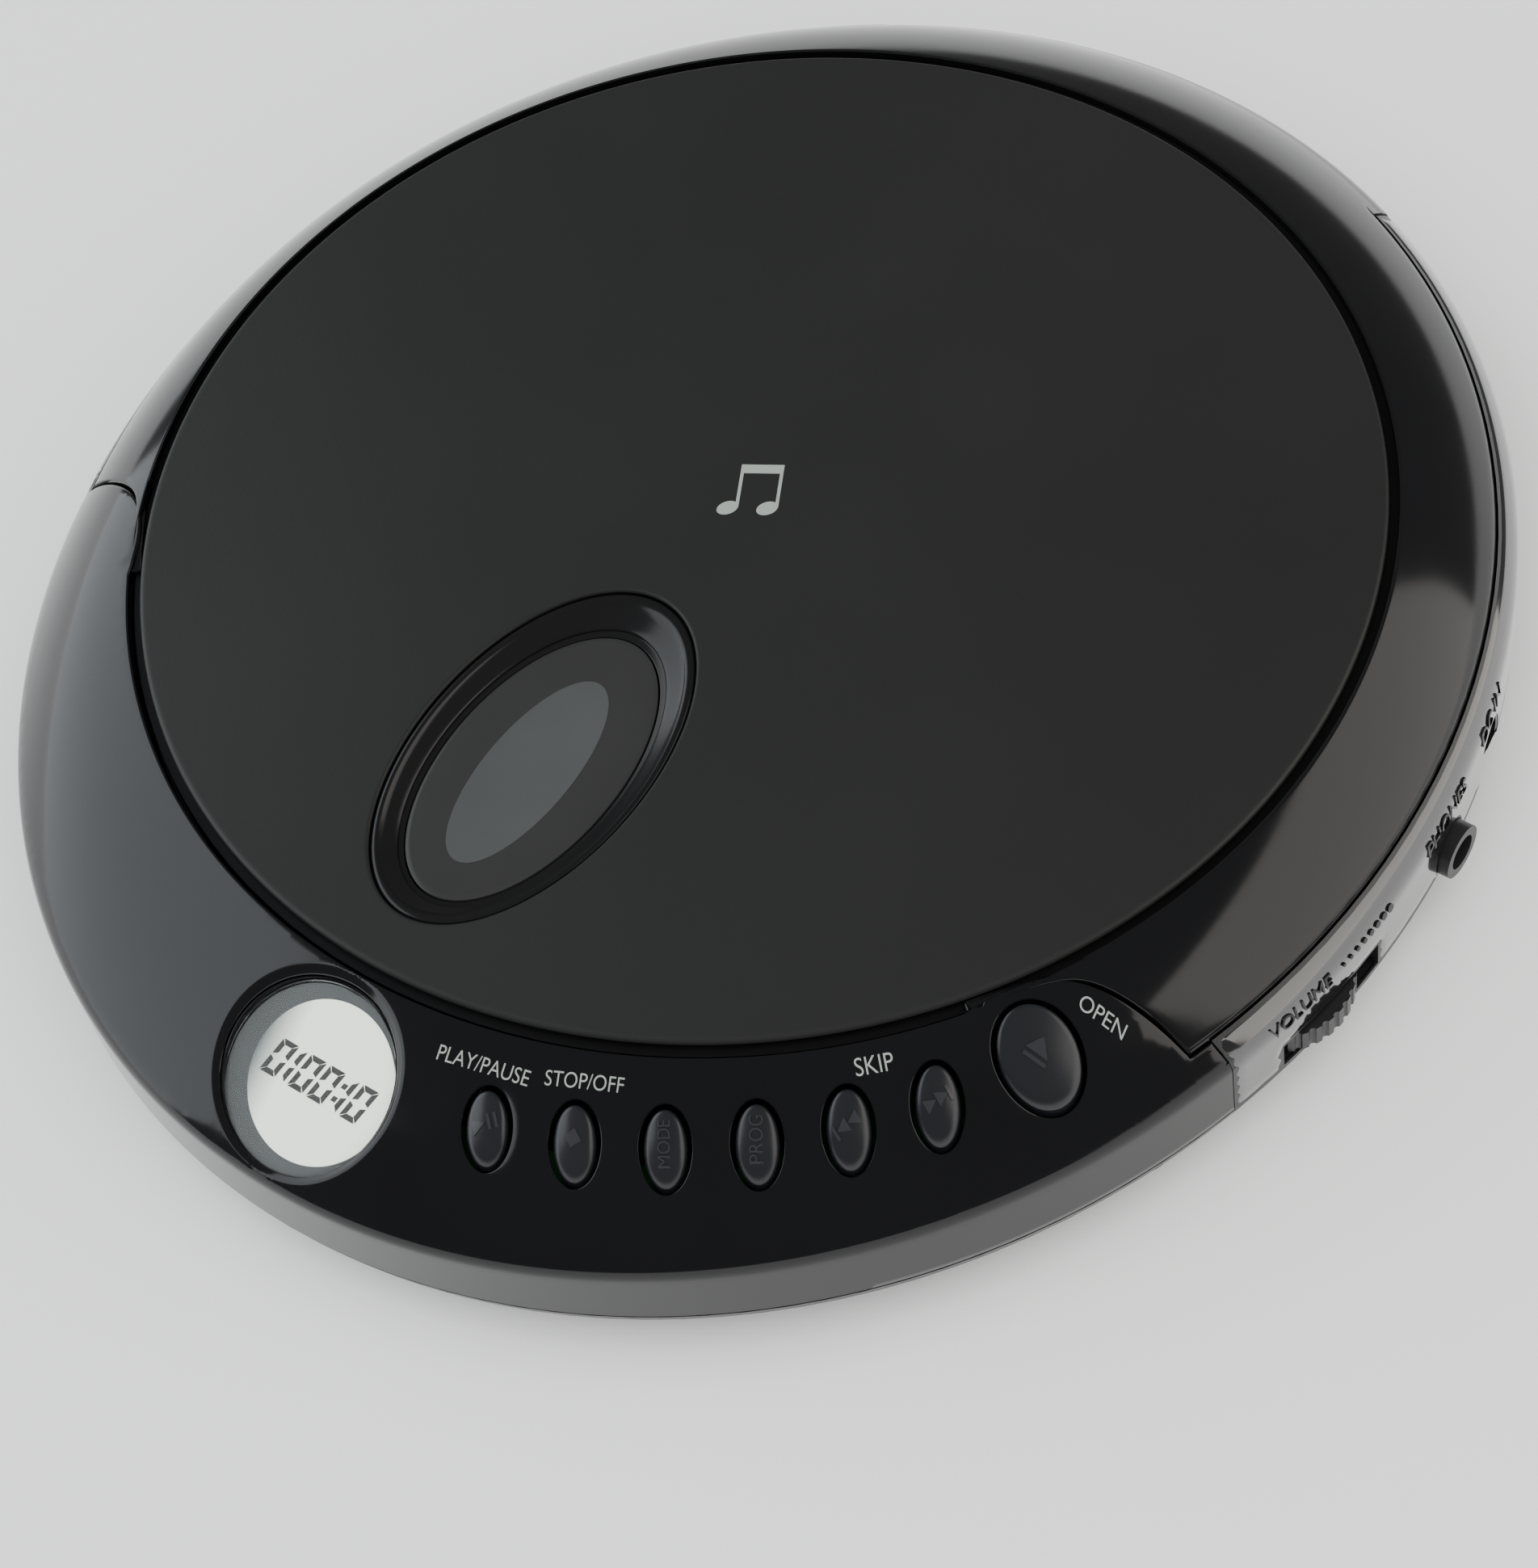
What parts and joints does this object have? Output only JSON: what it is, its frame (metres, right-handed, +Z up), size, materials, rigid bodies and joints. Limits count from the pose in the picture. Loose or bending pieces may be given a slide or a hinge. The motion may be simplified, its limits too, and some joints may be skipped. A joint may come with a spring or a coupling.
{
  "type": "portable cd player",
  "caption": "Portable disc player: oval body, round hinged lid with a viewing window, front display and control buttons, side volume wheel and sockets.",
  "frame": {"origin": "under the middle of the oval body, on the plane its rubber feet stand on", "axes": "+Z up through the lid, -Y towards the front edge with the display, +X towards the right side with the sockets and volume wheel"},
  "size_m": [0.146, 0.1584, 0.0273],
  "materials": {
    "lid_shell": "gloss black",
    "lid_panel": "matt charcoal",
    "window_ring": "gloss black",
    "window_lens": "smoked clear",
    "control_panel": "gloss black",
    "middle_case": "gloss black",
    "deck_plastic": "satin black",
    "post_plastic": "satin black",
    "bottom_case": "satin black",
    "battery_door": "satin black",
    "spring_steel": "nickel plated",
    "contact_steel": "nickel plated",
    "wire_cover": "satin",
    "screw_steel": "blackened",
    "foot_rubber": "matt",
    "hinge_steel": "bright",
    "display_lens": "clear",
    "display_mask": "matt black",
    "display_module": "pale grey-green",
    "circuit_board": "solder mask",
    "switch_plastic": "satin",
    "latch_plastic": "satin white",
    "chip_plastic": "matt",
    "capacitor_can": "satin",
    "crystal_can": "satin",
    "jack_plastic": "satin",
    "jack_pin": "bright",
    "volume_wheel": "satin black",
    "pot_body": "satin",
    "chassis_plastic": "satin",
    "damper_rubber": "soft",
    "rod_steel": "ground",
    "pickup_plastic": "satin",
    "objective_glass": "coated",
    "cable_film": "amber film",
    "gear_plastic": "natural white",
    "motor_can": "zinc plated",
    "turntable_plastic": "satin black",
    "button_plastic": "gloss black"
  },
  "bodies": {
    "base": {"control_panel": "control_panel", "middle_case": "middle_case", "disc_deck": "deck_plastic", "deck_posts": "post_plastic", "bottom_case": "bottom_case", "battery_springs": "spring_steel", "battery_contacts": "contact_steel", "battery_wires": "wire_cover", "case_screws": "screw_steel", "rubber_feet": "foot_rubber", "hinge_pin": "hinge_steel", "display_lens": "display_lens", "display_mask": "display_mask", "display_module": "display_module", "key_board": "circuit_board", "tact_switches": "switch_plastic", "main_board": "circuit_board", "board_chips": "chip_plastic", "board_capacitors": "capacitor_can", "crystal": "crystal_can", "headphone_jack": "jack_plastic", "dc_jack": "jack_plastic", "dc_jack_pin": "jack_pin", "volume_pot": "pot_body", "lid_switch": "switch_plastic", "mechanism_chassis": "chassis_plastic", "chassis_dampers": "damper_rubber", "chassis_screws": "screw_steel", "guide_rods": "rod_steel", "pickup_cable": "cable_film", "sled_motor": "motor_can", "spindle_motor": "motor_can"},
    "lid": {"lid_shell": "lid_shell", "lid_panel": "lid_panel", "window_ring": "window_ring", "window_lens": "window_lens"},
    "latch": {"latch_slider": "latch_plastic"},
    "volume_wheel": {"volume_wheel": "volume_wheel"},
    "battery_door": {"battery_door": "battery_door"},
    "turntable": {"turntable": "turntable_plastic", "spindle_shaft": "rod_steel"},
    "pickup": {"pickup_sled": "pickup_plastic"},
    "objective_lens": {"objective_lens": "objective_glass"},
    "drive_gear": {"drive_gear": "gear_plastic"},
    "motor_gear": {"motor_gear": "gear_plastic"},
    "play_pause_button": {"play_pause_button": "button_plastic"},
    "stop_button": {"stop_button": "button_plastic"},
    "mode_button": {"mode_button": "button_plastic"},
    "program_button": {"program_button": "button_plastic"},
    "skip_back_button": {"skip_back_button": "button_plastic"},
    "skip_forward_button": {"skip_forward_button": "button_plastic"},
    "open_button": {"open_button": "button_plastic"}
  },
  "joints": [
    {"name": "lid_hinge", "type": "hinge", "parent": "base", "child": "lid", "pos_m": [0, 0.0725, 0.0148], "axis": [-1, 0, 0], "range_deg": [0, 75]},
    {"name": "play_pause_press", "type": "slide", "parent": "base", "child": "play_pause_button", "axis": [0, 0, -1], "range_m": [0, 0.0006], "stiffness_N_per_m": 400},
    {"name": "stop_press", "type": "slide", "parent": "base", "child": "stop_button", "axis": [0, 0, -1], "range_m": [0, 0.0006], "stiffness_N_per_m": 400},
    {"name": "mode_press", "type": "slide", "parent": "base", "child": "mode_button", "axis": [0, 0, -1], "range_m": [0, 0.0006], "stiffness_N_per_m": 400},
    {"name": "program_press", "type": "slide", "parent": "base", "child": "program_button", "axis": [0, 0, -1], "range_m": [0, 0.0006], "stiffness_N_per_m": 400},
    {"name": "skip_back_press", "type": "slide", "parent": "base", "child": "skip_back_button", "axis": [0, 0, -1], "range_m": [0, 0.0006], "stiffness_N_per_m": 400},
    {"name": "skip_forward_press", "type": "slide", "parent": "base", "child": "skip_forward_button", "axis": [0, 0, -1], "range_m": [0, 0.0006], "stiffness_N_per_m": 400},
    {"name": "open_press", "type": "slide", "parent": "base", "child": "open_button", "axis": [0, 0, -1], "range_m": [0, 0.0012], "stiffness_N_per_m": 300},
    {"name": "latch_slide", "type": "slide", "parent": "base", "child": "latch", "axis": [0.9026, -0.4305, 0], "range_m": [0, 0.0012]},
    {"name": "volume_turn", "type": "hinge", "parent": "base", "child": "volume_wheel", "pos_m": [0.0656, -0.011, 0.0092], "axis": [0, 0, 1], "range_deg": [-135, 135]},
    {"name": "battery_door_hinge", "type": "hinge", "parent": "base", "child": "battery_door", "pos_m": [0, 0.0239, 0.0024], "axis": [-1, 0, 0], "range_deg": [0, 80]},
    {"name": "spindle_turn", "type": "hinge", "parent": "base", "child": "turntable", "pos_m": [0, 0.00145, 0.0196], "axis": [0, 0, 1], "continuous": true},
    {"name": "pickup_slide", "type": "slide", "parent": "base", "child": "pickup", "axis": [0, -1, 0], "range_m": [0, 0.032], "deforming": ["pickup_cable"]},
    {"name": "drive_gear_turn", "type": "hinge", "parent": "base", "child": "drive_gear", "pos_m": [0.0201, -0.03, 0.0105], "axis": [0, 0, 1], "range_deg": [-5, 515]},
    {"name": "motor_gear_turn", "type": "hinge", "parent": "base", "child": "motor_gear", "pos_m": [0.02598, -0.03809, 0.0075], "axis": [0, 0, 1], "range_deg": [-2045, 5]},
    {"name": "lens_focus", "type": "slide", "parent": "pickup", "child": "objective_lens", "axis": [0, 0, 1], "range_m": [-0.0004, 0.0004], "stiffness_N_per_m": 60}
  ],
  "couplings": [
    {"joint": "latch_slide", "follows": "open_press", "ratio": 1},
    {"joint": "drive_gear_turn", "follows": "pickup_slide", "rad_per_m": 277.78},
    {"joint": "motor_gear_turn", "follows": "pickup_slide", "rad_per_m": -1111.1}
  ]
}
